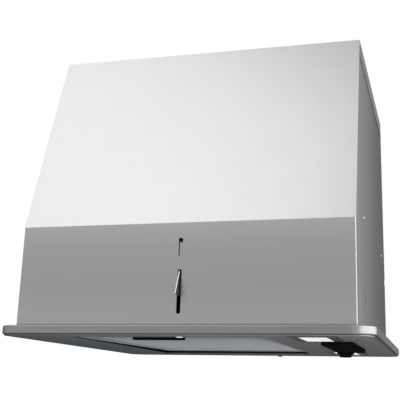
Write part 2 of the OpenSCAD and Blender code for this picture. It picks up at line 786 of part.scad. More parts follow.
// Bent flat rod from the lever's slide up to a pin in the damper's crank
module pull_rod() {
    y0 = slide_y + slide_t;
    y1 = guide_y - guide_t / 2 - 1.5 - rod_t;
    z0 = rod_foot_z;
    z1 = rod_pin_z + rod_pin_r + 2;
    foot_h = 16;
    head_h = 12;
    color("dimgray") {
        across(rod_x - rod_w / 2, rod_w) polygon([
            [y0, z0], [y0, z0 + foot_h], [y1, z1], [y1 + rod_t, z1],
            [y1 + rod_t, z1 - head_h], [y0 + rod_t, z0 + foot_h - head_h], [y0 + rod_t, z0]]);
        translate([rod_x, y1 + rod_t / 2, rod_pin_z]) rotate([-90, 0, 0])
            cylinder(r = rod_pin_r, h = crank_y + crank_t / 2 + 1.5 - y1 - rod_t / 2);
    }
}

module lever_slide() {
    color("gray") translate([-slide_w / 2, slide_y, lever_slide_low])
        cube([slide_w, slide_t, lever_slide_top - lever_slide_low]);
}

// Finger lever: a thin web with a wider front edge that runs down to a tip
module lever_handle() {
    z0 = lever_low;
    z1 = lever_low + lever_h;
    tip = [y_front - lever_out, z0 + 2.5];
    top = [y_front - 1.5, z1];
    color("silver") {
        across(-lever_web / 2, lever_web) polygon([
            [slide_y, z0 + 2], [slide_y, z1 - 2], [y_front - 0.4, z1 - 0.5], top, tip,
            [y_front - 0.4, z0]]);
        across(-lever_edge / 2, lever_edge)
            polygon([top, tip, [tip[0] + 1.6, tip[1] + 0.1], [top[0], top[1] - 3.2]]);
    }
}

module flow_slide() {
    color("gray") translate([-slide_w / 2, slide_y, flow_slide_low])
        cube([slide_w, slide_t, flow_slide_top - flow_slide_low]);
}

module flow_pin() {
    color("black") translate([0, slide_y, flow_pin_z]) rotate([90, 0, 0]) {
        cylinder(r = flow_pin_r, h = slide_gap + panel_t + 1.6);
        translate([0, 0, slide_gap + panel_t + 1.6]) cylinder(r = flow_pin_r - 0.8, h = 0.6);
    }
}

// Folded strips on the back of the front panel that both slides run in
module slide_guides() {
    low = slot_low - 6;
    y0 = y_front + panel_t;
    deep = slide_t + 2 * slide_gap;
    color("silver") for (s = [-1, 1]) scale([s, 1, 1]) translate([0, 0, low])
        linear_extrude(flow_slide_top - low) {
            translate([slide_w / 2 + slide_gap, y0]) square([1, deep + 1]);
            translate([slide_w / 2 + slide_gap - guide_lip, y0 + deep]) square([guide_lip, 1]);
            translate([slide_w / 2 + slide_gap, y0]) square([10, 1]);
        }
}

// Turns a filter part about the hinge so that its front hangs at the latch
module hung() {
    translate([0, pin_y, pin_z]) rotate([droop_a, 0, 0]) translate([0, -pin_y, -pin_z]) children();
}

// Channel frame round the filter pack
module filter_frame() {
    color("lightsteelblue") hung() difference() {
        translate([filter_x - filter_w / 2, filter_edge, filter_z])
            cube([filter_w, filter_d, filter_h]);
        translate([filter_x - window_w / 2, window_y - window_d / 2, filter_z - 1])
            cube([window_w, window_d, filter_h + 2]);
        translate([filter_x - filter_w / 2 + filter_t, filter_edge + filter_t, filter_z + filter_t])
            cube([filter_w - 2 * filter_t, filter_d - 2 * filter_t, net_room]);
        // Room for the handle's cup and the latch tongue
        translate([handle_x - cup_w / 2 - 0.3, cup_y - cup_d / 2 - 0.3, filter_z - 1])
            cube([cup_w + 0.6, cup_d + 0.6, filter_t + 2]);
        translate([handle_x - tongue_w / 2 - 0.5, filter_edge - 1, tongue_z - 0.4])
            cube([tongue_w + 1, filter_t + 2, tongue_t + 0.8]);
    }
}

// Diamond net cut from one sheet
module net_sheet() {
    a = atan2(net_pitch_y, net_pitch_x);
    span = norm([window_w, window_d]);
    step = net_pitch_x * sin(a);
    n = ceil(span / step / 2);
    intersection() {
        square([window_w - 1, window_d - 1], center = true);
        for (s = [-1, 1]) rotate([0, 0, s * a]) for (i = [-n : n])
            translate([0, i * step]) square([1.2 * span, net_strand], center = true);
    }
}

module filter_net() {
    color("lightgray") hung() translate([filter_x, 0, filter_z + filter_t]) linear_extrude(net_t) {
        translate([0, window_y]) net_sheet();
        // Margin that the frame's channel grips
        difference() {
            translate([0, pack_y]) square([net_w, pack_d], center = true);
            translate([0, window_y]) square([window_w - 1.2, window_d - 1.2], center = true);
        }
    }
}

// Corrugated layer between the two nets
module filter_core() {
    h = net_room - 2 * net_t;
    n = round(pack_d / 16);
    step = pack_d / n / 2;
    z0 = filter_z + filter_t + net_t;
    low = [for (i = [0 : 2 * n]) [pack_front + i * step, z0 + (i % 2) * (h - core_t)]];
    high = [for (i = [2 * n : -1 : 0])
        [pack_front + i * step, z0 + core_t + (i % 2) * (h - core_t)]];
    color("darkgray") hung() across(filter_x - net_w / 2, net_w) polygon(concat(low, high));
}

module filter_backing() {
    color("lightgray") hung() translate([filter_x, pack_y, filter_top - filter_t - net_t])
        linear_extrude(net_t) difference() {
            square([net_w, pack_d], center = true);
            for (i = [0.5 - back_nx / 2 : back_nx / 2], j = [0.5 - back_ny / 2 : back_ny / 2])
                translate([i * back_pitch, j * back_pitch])
                    square([back_pitch - 8, back_pitch - 8], center = true);
        }
}

back_pitch = 50;
back_nx = floor((net_w - 16) / back_pitch);
back_ny = floor((pack_d - 16) / back_pitch);

// Pins that stand out of the filter's sides near its rear edge
module filter_hinge_pins() {
    color("gray") for (s = [-1, 1]) translate([filter_x + s * filter_w / 2, pin_y, pin_z])
        rotate([0, s * 90, 0]) cylinder(r = filter_pin_r, h = filter_gap + rim_t + bracket_t + 5);
}

module filter_hinge_brackets() {
    off = filter_open_w / 2 + rim_t + 2.5;
    color("silver") for (s = [-1, 1]) translate([filter_x + s * off, pin_y, 0])
        scale([s, 1, 1]) difference() {
            union() {
                translate([0, -bracket_w / 2, plate_top])
                    cube([bracket_t, bracket_w, pin_z - plate_top]);
                translate([0, 0, pin_z]) rotate([0, 90, 0])
                    cylinder(r = bracket_w / 2, h = bracket_t);
                translate([0, -bracket_w / 2, plate_top])
                    cube([bracket_foot, bracket_w, 1.5]);
            }
            translate([-1, 0, pin_z]) rotate([0, 90, 0])
                cylinder(r = filter_pin_r + run_gap, h = bracket_t + 2);
        }
}

// Finger cup of the filter's handle, open downwards
module handle_cup() {
    r = cup_d / 2 - 1.5;
    color("black") hung() translate([handle_x, cup_y, 0]) difference() {
        union() {
            translate([0, 0, cup_z]) linear_extrude(cup_top - cup_z) rounded(cup_w, cup_d, r);
            translate([-cup_w / 2 - 2, -cup_d / 2 - 2, filter_z + filter_t])
                cube([cup_w + 4, cup_d + 4, 1.2]);
        }
        translate([0, 0, cup_z - 1]) linear_extrude(cup_top - cup_z + 1 - cup_wall)
            rounded(cup_w - 2 * cup_wall, cup_d - 2 * cup_wall, r - cup_wall);
        translate([-tongue_w / 2 - 0.4, -cup_d / 2 - 3, tongue_z - 0.3])
            cube([tongue_w + 0.8, cup_wall + 4, tongue_t + 0.6]);
    }
}

// Finger slide in the cup, with a tongue that reaches over the hem of the opening
module latch_slider() {
    bar_front = cup_y - cup_d / 2 + cup_wall + 0.3;
    reach = rim_y(filter_front) - rim_t - tongue_over;
    bar_low = cup_z - 0.4;
    color("black") hung() {
        difference() {
            translate([handle_x - latch_bar_w / 2, bar_front, bar_low])
                cube([latch_bar_w, latch_bar_t, cup_top - cup_wall - 0.3 - bar_low]);
            // Grip grooves in the face that a fingertip pushes back
            for (y = [1, 2.4]) translate([handle_x - latch_bar_w, bar_front + y, bar_low - 1])
                cube([2 * latch_bar_w, 0.6, 1.6]);
        }
        translate([handle_x - tongue_w / 2, reach, tongue_z])
            cube([tongue_w, bar_front + 1 - reach, tongue_t]);
    }
}

module latch_spring() {
    bar_rear = cup_y - cup_d / 2 + cup_wall + 0.3 + latch_bar_t;
    room = cup_y + cup_d / 2 - cup_wall - bar_rear;
    color("silver") hung() for (s = [-1, 1])
        translate([handle_x + s * (latch_bar_w / 2 - 6), bar_rear, cup_top - cup_wall - 2.6])
            rotate([-90, 0, 0]) coil(1.7, 0.25, room, 4);
}

module lamp_bezels() {
    color("silver") for (y = lamp_places) translate([lamp_x, y, 0]) difference() {
        union() {
            translate([0, 0, plate_low - bezel_t]) linear_extrude(bezel_t) rounded(lamp_w, lamp_l, 3);
            translate([0, 0, plate_low]) linear_extrude(bezel_up)
                square([lamp_frame_w, lamp_frame_l], center = true);
        }
        translate([0, 0, plate_low - 2]) linear_extrude(12)
            square([lens_w + 0.6, lens_l + 0.6], center = true);
        translate([0, 0, plate_low + 1.5]) linear_extrude(bezel_up)
            square([lamp_frame_w - 2 * bezel_wall, lamp_frame_l - 2 * bezel_wall], center = true);
    }
}

module lamp_lenses() {
    color("white") for (y = lamp_places) translate([lamp_x, y, plate_low - bezel_t]) {
        linear_extrude(2.5) rounded(lens_w, lens_l, 1);
        translate([0, 0, 2.5]) linear_extrude(1.5)
            square([lamp_frame_w - 2 * bezel_wall - 0.6, lamp_frame_l - 2 * bezel_wall - 0.6],
                   center = true);
    }
}

module lamp_cases() {
    w = lamp_frame_w + 2 * pass_gap + 12;
    l = lamp_frame_l + 2 * pass_gap + 8;
    color("gray") for (y = lamp_places) translate([lamp_x, y, plate_top]) difference() {
        linear_extrude(lamp_case_h) rounded(w, l, 4);
        translate([0, 0, -1]) linear_extrude(lamp_case_h) rounded(w - 3, l - 3, 2.5);
    }
}

module led_boards() {
    color("white") for (y = lamp_places) translate([lamp_x, y, plate_top + lamp_case_h - 2.6])
        difference() {
            linear_extrude(1.6) square([lamp_frame_w - 8, lamp_frame_l - 8], center = true);
            for (s = [-1, 1]) translate([0, s * (lamp_frame_l / 2 - 9), -1]) cylinder(r = 1.6, h = 4);
        }
}

// Timer housing: an open-topped box that hangs through the plate on an inner flange
module timer_housing() {
    color([0.1, 0.1, 0.1]) translate([timer_x, timer_cy, 0]) difference() {
        union() {
            translate([0, 0, timer_low]) linear_extrude(timer_top - timer_low)
                rounded(timer_w, timer_l, timer_wall);
            translate([0, 0, plate_top]) linear_extrude(1.6)
                rounded(timer_w + 2 * timer_flange, timer_l + 2 * timer_flange, 4);
        }
        translate([0, 0, timer_low + timer_wall]) linear_extrude(timer_top - timer_low)
            square([timer_w - 2 * timer_wall, timer_l - 2 * timer_wall], center = true);
        translate([knob_x - timer_x, knob_y - timer_cy, timer_low - 1])
            cylinder(r = timer_shaft_r + 1, h = timer_wall + 2);
    }
}

module timer_lid() {
    color([0.12, 0.12, 0.12]) translate([timer_x, timer_cy, timer_top]) {
        linear_extrude(timer_lid_t) rounded(timer_w, timer_l, timer_wall);
        translate([0, 0, -4]) linear_extrude(4) difference() {
            square([timer_w - 2 * timer_wall - 0.6, timer_l - 2 * timer_wall - 0.6], center = true);
            square([timer_w - 2 * timer_wall - 4.6, timer_l - 2 * timer_wall - 4.6], center = true);
        }
    }
}

clock_low = timer_low + timer_wall;
clock_h = 26;

// Clockwork case round the knob's axis
module timer_clockwork() {
    color("gray") difference() {
        union() {
            translate([timer_x - timer_w / 2 + timer_wall + 1, knob_y - 22, clock_low])
                cube([34, timer_cy + timer_l / 2 - timer_wall - 0.5 - knob_y + 22, clock_h]);
            translate([knob_x, knob_y, clock_low - timer_wall + 0.4])
                cylinder(r = timer_shaft_r + 0.8, h = timer_wall);
        }
        translate([knob_x, knob_y, clock_low - timer_wall - 1])
            cylinder(r = timer_shaft_r + run_gap, h = clock_h - 4);
    }
}

module timer_shaft() {
    color("silver") translate([knob_x, knob_y, timer_low - knob_h + 3])
        cylinder(r = timer_shaft_r, h = knob_h - 3 + timer_wall + clock_h - 8);
}

// Knob: a low skirt with a round grip and a pointer ridge
module timer_knob() {
    grip_r = knob_r - 4.5;
    skirt_h = 3;
    ribs = 16;
    color([0.08, 0.08, 0.08]) translate([knob_x, knob_y, timer_low - knob_h]) difference() {
        union() {
            translate([0, 0, knob_h - skirt_h - 0.5]) cylinder(r = knob_r, h = skirt_h);
            translate([0, 0, 1.5]) cylinder(r = grip_r, h = knob_h - skirt_h - 1);
            cylinder(r1 = grip_r - 1.5, r2 = grip_r, h = 1.5);
            for (i = [0 : ribs - 1]) rotate([0, 0, i * 360 / ribs])
                translate([grip_r, 0, 1.5]) cylinder(r = 0.9, h = knob_h - skirt_h - 1);
            translate([-1.2, 0, 0.8]) cube([2.4, knob_r - 0.5, knob_h - skirt_h - 0.5]);
        }
        translate([0, 0, 3]) cylinder(r = timer_shaft_r, h = knob_h);
    }
}

block_w = timer_w - 2 * timer_wall - 8;

module led_driver() {
    color("white") translate([timer_x - timer_w / 2 + timer_wall + 4,
                              timer_cy - timer_l / 2 + timer_wall + block_gap, clock_low])
        cube([block_w, driver_l, 22]);
}

module terminal_block() {
    x0 = timer_x - timer_w / 2 + timer_wall + 4;
    y0 = timer_cy - timer_l / 2 + timer_wall + driver_l + 2 * block_gap;
    color("white") difference() {
        translate([x0, y0, clock_low]) cube([block_w, 14, 16]);
        for (i = [0.5 : 3.5]) translate([x0 + i * block_w / 4, y0 + 7, clock_low + 6])
            cylinder(r = 2, h = 12);
    }
}

// Cable gland in the top cover: a body with a nut below and a cap above
module cable_gland() {
    z_in = body_h - panel_t;
    color([0.15, 0.15, 0.15]) translate([gland_x, gland_y, 0]) difference() {
        union() {
            translate([0, 0, z_in - 9]) cylinder(r = gland_r, h = panel_t + 9 + 6);
            translate([0, 0, z_in - 5]) cylinder(r = gland_r + 4, h = 5, $fn = 6);
            translate([0, 0, body_h]) cylinder(r = gland_r + 4, h = 5, $fn = 6);
            translate([0, 0, body_h + 5]) cylinder(r1 = gland_r + 2, r2 = gland_r - 1, h = 9);
        }
        translate([0, 0, z_in - 10]) cylinder(r = gland_bore, h = 40);
    }
}

module light_switch_body() {
    color("silver") translate([0, button_cy, 0]) difference() {
        union() {
            translate([0, 0, plate_low - 1]) cylinder(r = switch_r + 2, h = 1);
            translate([0, 0, plate_low]) cylinder(r = switch_r, h = switch_top - plate_low);
        }
        translate([0, 0, plate_low - 2]) cylinder(r = button_r + run_gap, h = 14);
        translate([0, 0, plate_low + 11]) cylinder(r = 3.4, h = 8);
    }
}

module light_switch_nut() {
    color("gray") translate([0, button_cy, plate_top]) difference() {
        cylinder(r = switch_r + 3.2, h = 3, $fn = 6);
        translate([0, 0, -1]) cylinder(r = switch_r + 0.02, h = 5);
    }
}

module light_button() {
    color("white") translate([0, button_cy, plate_low - button_proud]) {
        translate([0, 0, 0.6]) cylinder(r = button_r, h = 11 - button_travel);
        cylinder(r1 = button_r - 0.6, r2 = button_r, h = 0.6);
    }
}

module button_spring() {
    z0 = plate_low - button_proud + 0.6 + 11 - button_travel;
    color("silver") translate([0, button_cy, z0]) coil(2.6, 0.3, plate_low + 19 - z0, 5);
}

module plate_screws() {
    color("silver") for (p = screw_places) translate([p[0], p[1], plate_low]) {
        translate([0, 0, -1.4]) cylinder(r = 3.6, h = 1.4);
        cylinder(r = plate_screw_r, h = 6);
    }
}

// Screw under the rear edge
module rear_screw() {
    color("silver") translate([rear_screw_side, y_rear - 6, plate_low]) {
        translate([0, 0, -2.4]) cylinder(r1 = 4.4, r2 = 5, h = 2.4);
        cylinder(r = plate_screw_r, h = 7);
    }
}

rim_frame();
bottom_plate();
front_panel();
side_panel_left();
side_panel_right();
back_panel();
top_cover();
side_rails();
side_rivets();
outlet_collar();
collar_flange();
collar_rivets();
damper_drum();
damper_bushes();
damper_shaft();
damper_flap();
damper_seal();
flap_screws();
damper_crank();
rod_guide();
pull_rod();
lever_slide();
lever_handle();
flow_slide();
flow_pin();
slide_guides();
filter_frame();
filter_net();
filter_core();
filter_backing();
filter_hinge_pins();
filter_hinge_brackets();
handle_cup();
latch_slider();
latch_spring();
lamp_bezels();
lamp_lenses();
lamp_cases();
led_boards();
timer_housing();
timer_lid();
timer_clockwork();
timer_shaft();
timer_knob();
led_driver();
terminal_block();
cable_gland();
light_switch_body();
light_switch_nut();
light_button();
button_spring();
plate_screws();
rear_screw();
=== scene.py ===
import bpy, bmesh, json, math
from mathutils import Matrix, Vector


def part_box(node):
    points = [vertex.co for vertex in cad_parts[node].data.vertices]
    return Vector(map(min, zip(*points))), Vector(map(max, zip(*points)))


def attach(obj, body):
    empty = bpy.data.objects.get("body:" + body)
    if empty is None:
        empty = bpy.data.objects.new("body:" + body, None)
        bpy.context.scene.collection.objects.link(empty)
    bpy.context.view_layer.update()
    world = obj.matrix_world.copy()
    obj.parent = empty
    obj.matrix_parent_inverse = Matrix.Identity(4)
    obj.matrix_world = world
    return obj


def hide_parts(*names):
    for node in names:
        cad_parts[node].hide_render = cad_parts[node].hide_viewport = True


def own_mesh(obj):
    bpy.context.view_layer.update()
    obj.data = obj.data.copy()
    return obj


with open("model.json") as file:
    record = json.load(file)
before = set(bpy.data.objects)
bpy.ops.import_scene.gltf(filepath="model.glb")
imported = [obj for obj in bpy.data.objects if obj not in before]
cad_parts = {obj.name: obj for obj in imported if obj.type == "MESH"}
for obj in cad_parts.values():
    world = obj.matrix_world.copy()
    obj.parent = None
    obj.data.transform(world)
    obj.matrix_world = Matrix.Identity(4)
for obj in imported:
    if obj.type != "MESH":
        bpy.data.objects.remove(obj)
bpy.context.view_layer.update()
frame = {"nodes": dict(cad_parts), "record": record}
nodes = frame["nodes"]
record = frame["record"]
slot_of = {s["node"]: s["material_slot"] for s in record["subparts"]}
joints = {j["name"]: j for j in record["behaviour"]["joints"]}

MM = 0.001

# Camera at the photograph's viewing angle: metres, degrees, and shares of the frame for the shift
CAMERA_AT = (0.3914, -1.4346, -0.1000)
CAMERA_YAW, CAMERA_PITCH, CAMERA_ROLL = 14.514, 14.823, 1.265
CAMERA_SHIFT = (-0.10, -0.035)
FOCAL_PIXELS, FRAME_PIXELS = 791.138, 400
SENSOR_MM = 36


def make_camera():
    yaw, pitch, roll = [math.radians(a) for a in (CAMERA_YAW, CAMERA_PITCH, CAMERA_ROLL)]
    look = Vector((-math.sin(yaw) * math.cos(pitch), math.cos(yaw) * math.cos(pitch), math.sin(pitch)))
    side = Vector((math.cos(yaw), math.sin(yaw), 0))
    up = side.cross(look)
    right = side * math.cos(roll) + up * math.sin(roll)
    top = up * math.cos(roll) - side * math.sin(roll)
    data = bpy.data.cameras.new("photo_camera")
    data.sensor_width = SENSOR_MM
    data.lens = FOCAL_PIXELS / FRAME_PIXELS * SENSOR_MM
    data.shift_x, data.shift_y = CAMERA_SHIFT
    data.clip_start, data.clip_end = 0.01, 100
    cam = bpy.data.objects.new("photo_camera", data)
    m = Matrix((right, top, -look)).transposed().to_4x4()
    m.translation = Vector(CAMERA_AT)
    cam.matrix_world = m
    bpy.context.scene.collection.objects.link(cam)
    bpy.context.scene.camera = cam


make_camera()


# Materials
class Nodes:
    """Short names for building one material's node tree."""

    def __init__(self, name):
        self.mat = bpy.data.materials.new(name)
        self.mat.use_nodes = True
        self.tree = self.mat.node_tree
        self.bsdf = self.tree.nodes["Principled BSDF"]
        self.out = self.tree.nodes["Material Output"]

    def add(self, kind, **values):
        n = self.tree.nodes.new(kind)
        for k, v in values.items():
            setattr(n, k, v)
        return n

    def link(self, a, b):
        self.tree.links.new(a, b)

    def set(self, **values):
        for k, v in values.items():
            self.bsdf.inputs[k.replace("_", " ")].default_value = v

    def coords(self, scale=(1, 1, 1)):
        """Places on the object, in metres times the scale."""
        tc = self.add("ShaderNodeTexCoord")
        mp = self.add("ShaderNodeMapping")
        mp.inputs["Scale"].default_value = scale
        self.link(tc.outputs["Object"], mp.inputs["Vector"])
        return mp.outputs["Vector"]

    def noise(self, vector, scale=1.0, detail=2.0, rough=0.5):
        n = self.add("ShaderNodeTexNoise")
        n.inputs["Scale"].default_value = scale
        n.inputs["Detail"].default_value = detail
        n.inputs["Roughness"].default_value = rough
        self.link(vector, n.inputs["Vector"])
        return n.outputs["Fac"]

    def ramp(self, fac, stops):
        r = self.add("ShaderNodeValToRGB")
        e = r.color_ramp.elements
        while len(e) < len(stops):
            e.new(0.5)
        for el, (pos, col) in zip(e, stops):
            el.position = pos
            el.color = (*col, 1)
        self.link(fac, r.inputs["Fac"])
        return r.outputs["Color"]

    def shade(self, fac, lo, hi):
        """Colours from lo to hi over the middle of a noise's range."""
        return self.ramp(fac, [(0.3, lo), (0.7, hi)])

    def span(self, fac, lo, hi, a=0.3, b=0.7):
        """Values from lo to hi while fac goes from a to b."""
        r = self.add("ShaderNodeMapRange")
        for k, v in (("From Min", a), ("From Max", b), ("To Min", lo), ("To Max", hi)):
            r.inputs[k].default_value = v
        self.link(fac, r.inputs["Value"])
        return r.outputs["Result"]

    def blend(self, share, a, b, kind="MIX"):
        m = self.add("ShaderNodeMix", data_type="RGBA", blend_type=kind)
        m.inputs["Factor"].default_value = share
        colour_a, colour_b, colour_out = 6, 7, 2
        self.link(a, m.inputs[colour_a])
        self.link(b, m.inputs[colour_b])
        return m.outputs[colour_out]

    def drift(self, colour, tones):
        """Painted light and shade: the tone drifts along an axis; tones are (axis, [(place in metres,
        factor), ...]).

        A factor is one number, or three for red, green and blue.
        """
        for axis, stops in tones:
            stops = [(p, f if isinstance(f, tuple) else (f, f, f)) for p, f in stops]
            sep = self.add("ShaderNodeSeparateXYZ")
            self.link(self.coords(), sep.inputs[0])
            lo, hi = stops[0][0], stops[-1][0]
            top = max(max(f) for _, f in stops)
            along = self.span(sep.outputs[axis], 0.0, 1.0, lo, hi)
            fade = self.ramp(along, [((p - lo) / (hi - lo), tuple(c / top for c in f)) for p, f in stops])
            gain = self.add("ShaderNodeVectorMath", operation="SCALE")
            gain.inputs["Scale"].default_value = top
            self.link(self.blend(1.0, colour, fade, "MULTIPLY"), gain.inputs[0])
            colour = gain.outputs[0]
        return colour

    def bump(self, height, strength, distance):
        b = self.add("ShaderNodeBump")
        b.inputs["Strength"].default_value = strength
        b.inputs["Distance"].default_value = distance
        self.link(height, b.inputs["Height"])
        self.link(b.outputs["Normal"], self.bsdf.inputs["Normal"])


def grey(v, cold=0.0):
    return (v * (1 - cold), v, v * (1 + cold))


def stretched(axis, along, across):
    """Noise scales that draw the pattern out along one axis."""
    return tuple(along if a == axis else across for a in "XYZ")


def steel(name, base, rough=0.34, grain="X", tint=0.25, tones=()):
    """Brushed sheet: very fine short scratches along one axis over slow, faint cloudiness."""
    n = Nodes(name)
    scratch = n.noise(n.coords(stretched(grain, 30, 1900)), rough=0.6)
    band = n.noise(n.coords(stretched(grain, 3, 260)))
    cloud = n.noise(n.coords(), 5.0, 3.0, 0.55)
    smudge = n.noise(n.coords(), 26.0, 4.0, 0.6)
    a = n.shade(scratch, grey(base * 0.965), grey(base * 1.03))
    b = n.shade(band, grey(base * 0.988), grey(base * 1.01))
    n.link(n.drift(n.blend(0.5, a, b), tones), n.bsdf.inputs["Base Color"])
    r = n.add("ShaderNodeMath", operation="ADD")
    n.link(n.span(scratch, -0.03, 0.03), r.inputs[0])
    n.link(n.span(n.blend(0.5, cloud, smudge), rough - 0.010, rough + 0.012), r.inputs[1])
    n.link(r.outputs[0], n.bsdf.inputs["Roughness"])
    n.set(Metallic=1.0, Specular_Tint=(tint, tint, tint, 1))
    n.bump(scratch, 0.05, 0.0001)
    return n.mat


def galvanised(name, base, rough=0.42):
    """Zinc-coated sheet with a faint spangle."""
    n = Nodes(name)
    v = n.add("ShaderNodeTexVoronoi")
    v.inputs["Scale"].default_value = 140
    v.inputs["Randomness"].default_value = 1.0
    n.link(n.coords(), v.inputs["Vector"])
    sep = n.add("ShaderNodeSeparateColor")
    n.link(v.outputs["Color"], sep.inputs["Color"])
    cloud = n.noise(n.coords(), 22.0, 3.0, 0.55)
    a = n.ramp(sep.outputs["Red"], [(0.0, grey(base * 0.90, 0.01)), (1.0, grey(base * 1.10, 0.01))])
    b = n.shade(cloud, grey(base * 0.92, 0.01), grey(base * 1.06, 0.01))
    n.link(n.blend(0.5, a, b), n.bsdf.inputs["Base Color"])
    n.link(n.span(sep.outputs["Green"], rough - 0.06, rough + 0.08, 0, 1), n.bsdf.inputs["Roughness"])
    n.set(Metallic=1.0, Specular_Tint=(0.3, 0.3, 0.3, 1))
    n.bump(cloud, 0.08, 0.0004)
    return n.mat


def aluminium(name, base, rough=0.42, cold=0.015, tones=()):
    """Dull rolled aluminium; cold is its blue cast."""
    n = Nodes(name)
    fine = n.noise(n.coords(), 420.0, 3.0, 0.6)
    streak = n.noise(n.coords(stretched("X", 6, 160)))
    a = n.shade(fine, grey(base * 0.93, cold), grey(base * 1.06, cold))
    b = n.shade(streak, grey(base * 0.95, cold), grey(base * 1.04, cold))
    n.link(n.drift(n.blend(0.5, a, b), tones), n.bsdf.inputs["Base Color"])
    n.link(n.span(fine, rough - 0.05, rough + 0.06), n.bsdf.inputs["Roughness"])
    n.set(Metallic=1.0, Specular_Tint=(0.5, 0.5, 0.5, 1))
    n.bump(fine, 0.10, 0.0002)
    return n.mat


def plastic(name, colour, rough, grain=1.0, spec=0.5, emit=0.0):
    """Moulded surface with a fine grain; emit is the strength of a glow added to it."""
    n = Nodes(name)
    fine = n.noise(n.coords(), 1500.0, rough=0.6)
    slow = n.noise(n.coords(), 60.0)
    lo = tuple(c * 0.88 for c in colour)
    hi = tuple(min(1.0, c * 1.10) for c in colour)
    n.link(n.shade(slow, lo, hi), n.bsdf.inputs["Base Color"])
    n.link(n.span(fine, rough - 0.06, rough + 0.08), n.bsdf.inputs["Roughness"])
    n.set(Specular_IOR_Level=spec)
    if emit:
        n.set(Emission_Color=(1, 0.99, 0.97, 1), Emission_Strength=emit)
    n.bump(fine, 0.25 * grain, 0.00012)
    return n.mat


STEEL = 0.34
# Painted shade on the filter: darker towards its front edge, slightly lighter towards the rear.
FILTER_PAINTED_LIGHT = [("Y", [(-0.25, 0.50), (-0.222, 0.62), (-0.14, 0.86), (0.0, 1.04), (0.21, 1.08)])]
# Painted light on the side panels: lighter towards the front and the top, darker towards the rear, with
# painted shade along the foot by the rim.
SIDE_PAINTED_LIGHT = [
    ("Y", [(-0.285, 1.42), (-0.20, 1.05), (-0.05, 0.78), (0.12, 0.45), (0.25, 0.36), (0.29, 0.38)]),
    ("Z", [(-0.01, 0.30), (0.0006, 0.50), (0.004, 1.0), (0.08, 0.96), (0.2, 1.0), (0.5, 1.16)])]
# Painted light on the front panel: painted shade along its foot by the rim, a darker band across the middle
# of its lower wall, slightly darker towards the right.
FRONT_PAINTED_LIGHT = [
    ("Z", [(-0.012, 0.05), (0.0006, 0.30), (0.003, 0.93), (0.012, 0.91), (0.06, 0.84), (0.12, 0.86),
           (0.156, 0.96), (0.162, 1.0), (0.3, 0.965), (0.50, 0.94)]),
    ("X", [(-0.27, 1.04), (0.10, 0.99), (0.27, 0.98)])]
# Painted light on the rim: painted shade at its left end, a painted highlight on its right front corner, and
# its right side darker.
RIM_PAINTED_LIGHT = [
    ("X", [(-0.30, 0.35), (-0.296, 0.75), (-0.290, 1.08), (0.0, 0.99), (0.25, 0.93), (0.262, 1.0),
           (0.275, 1.42), (0.2984, 1.42), (0.2990, 0.77), (0.30, 0.77)])]
# Painted light on the bottom plate: painted shade with a cold cast towards the left, a lighter strip then
# painted shade at the right edge, lighter towards the front, darker towards the rear, and painted shade on
# faces above its underside such as the hem walls.
PLATE_PAINTED_LIGHT = [
    ("X", [(-0.30, (0.41, 0.45, 0.49)), (-0.19, (0.64, 0.71, 0.78)), (0.05, 1.05), (0.18, 0.95),
           (0.292, 1.1), (0.30, 0.25)]),
    ("Y", [(-0.295, 1.36), (-0.20, 1.26), (-0.10, 1.12), (0.05, 1.0), (0.20, 0.86), (0.295, 0.74)]),
    ("Z", [(-0.0150, 1.0), (-0.01485, 0.5), (-0.0138, 0.45), (-0.0133, 0.06), (-0.008, 0.04)])]
# Painted shade on the two side faces of the lever fin.
LEVER_PAINTED_SHADE = [("X", [(-0.00095, 0.14), (-0.00075, 1.0), (0.00065, 1.0), (0.00090, 0.14)])]
# Painted shade on the flow slide: a dark line along the left edge of its slot and a slightly darker strip
# along the right.
FLOW_PAINTED_SHADE = [
    ("X", [(-0.0024, 0.35), (-0.0014, 0.40), (-0.0010, 1.0), (0.0012, 1.0), (0.0016, 0.85),
           (0.0024, 0.85)])]


def side_steel(name, s):
    """Side panel, s = 1 for the right one; the cut walls of its slots and notch get painted shade."""
    face = abs(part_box("side_panel_right")[1][0])
    cut = sorted([(s * (face + 0.0002), 1.0), (s * (face - 0.00005), 1.0), (s * (face - 0.00015), 0.02),
                  (s * (face - 0.0010), 0.02), (s * (face - 0.0011), 0.8)])
    return steel(name, STEEL, grain="Y", tones=SIDE_PAINTED_LIGHT + [("X", cut)])


# What the record's material slots look like
LOOKS = {
    "hood_steel": steel("hood_steel", STEEL),
    "galvanised": galvanised("galvanised", 0.42),
    "filter_aluminium": aluminium("filter_aluminium", 0.43, tones=FILTER_PAINTED_LIGHT),
    "black_plastic": plastic("black_plastic", (0.009, 0.009, 0.010), 0.86, spec=0.0),
    "white_plastic": plastic("white_plastic", (0.86, 0.86, 0.85), 0.30, 0.4),
    "lens": plastic("lens", (0.92, 0.92, 0.91), 0.35, 0.5, emit=0.25),
    "spring_steel": steel("spring_steel", 0.55, 0.25, "Z"),
    "seal_rubber": plastic("seal_rubber", (0.02, 0.02, 0.02), 0.7),
}
